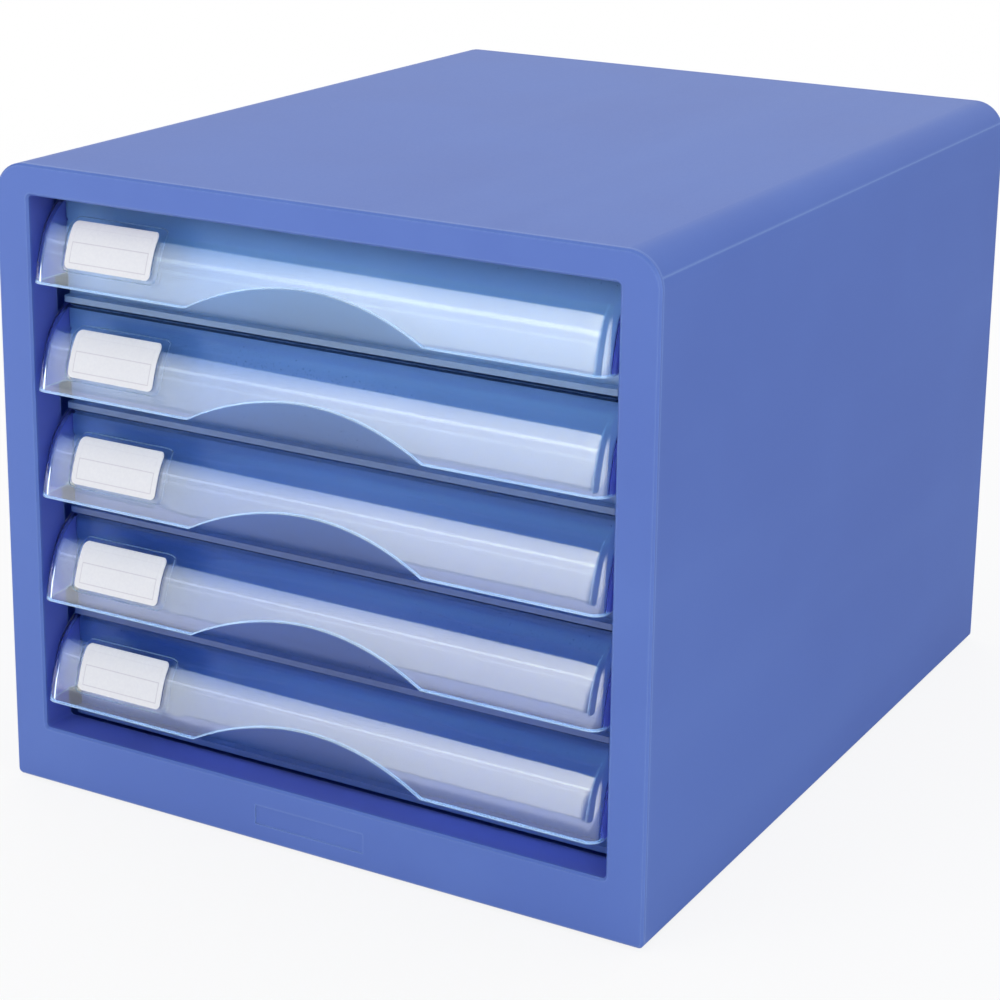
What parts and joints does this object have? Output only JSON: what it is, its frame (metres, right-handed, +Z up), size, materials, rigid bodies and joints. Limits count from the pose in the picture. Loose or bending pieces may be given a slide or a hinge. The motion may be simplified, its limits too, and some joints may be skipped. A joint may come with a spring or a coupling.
{
  "type": "desktop drawer unit",
  "caption": "Desktop unit of shallow A4 drawers: moulded plastic case, open trays on side runners, clear bulged fronts with a finger arch and a label.",
  "frame": {"origin": "centre of the whole unit's footprint on the desk, drawers closed", "axes": "+X to the right seen from the front, +Y to the back, +Z up; the drawers open along -Y"},
  "size_m": [0.28, 0.341, 0.251],
  "materials": {
    "case_plastic": "satin",
    "clear_plastic": "gloss",
    "tray_plastic": "satin",
    "label_card": "matte",
    "foot_rubber": "matte"
  },
  "bodies": {
    "case": {"front_frame": "case_plastic", "top_cover": "case_plastic", "left_side_panel": "case_plastic", "right_side_panel": "case_plastic", "base_panel": "case_plastic", "back_panel": "case_plastic", "front_left_foot": "foot_rubber", "front_right_foot": "foot_rubber", "rear_left_foot": "foot_rubber", "rear_right_foot": "foot_rubber"},
    "drawer_1": {"drawer_1_tray": "tray_plastic", "drawer_1_front": "clear_plastic", "drawer_1_label": "label_card"},
    "drawer_2": {"drawer_2_tray": "tray_plastic", "drawer_2_front": "clear_plastic", "drawer_2_label": "label_card"},
    "drawer_3": {"drawer_3_tray": "tray_plastic", "drawer_3_front": "clear_plastic", "drawer_3_label": "label_card"},
    "drawer_4": {"drawer_4_tray": "tray_plastic", "drawer_4_front": "clear_plastic", "drawer_4_label": "label_card"},
    "drawer_5": {"drawer_5_tray": "tray_plastic", "drawer_5_front": "clear_plastic", "drawer_5_label": "label_card"}
  },
  "joints": [
    {"name": "drawer_1_slide", "type": "slide", "parent": "case", "child": "drawer_1", "axis": [0, -1, 0], "range_m": [0, 0.24]},
    {"name": "drawer_2_slide", "type": "slide", "parent": "case", "child": "drawer_2", "axis": [0, -1, 0], "range_m": [0, 0.24]},
    {"name": "drawer_3_slide", "type": "slide", "parent": "case", "child": "drawer_3", "axis": [0, -1, 0], "range_m": [0, 0.24]},
    {"name": "drawer_4_slide", "type": "slide", "parent": "case", "child": "drawer_4", "axis": [0, -1, 0], "range_m": [0, 0.24]},
    {"name": "drawer_5_slide", "type": "slide", "parent": "case", "child": "drawer_5", "axis": [0, -1, 0], "range_m": [0, 0.24]}
  ]
}
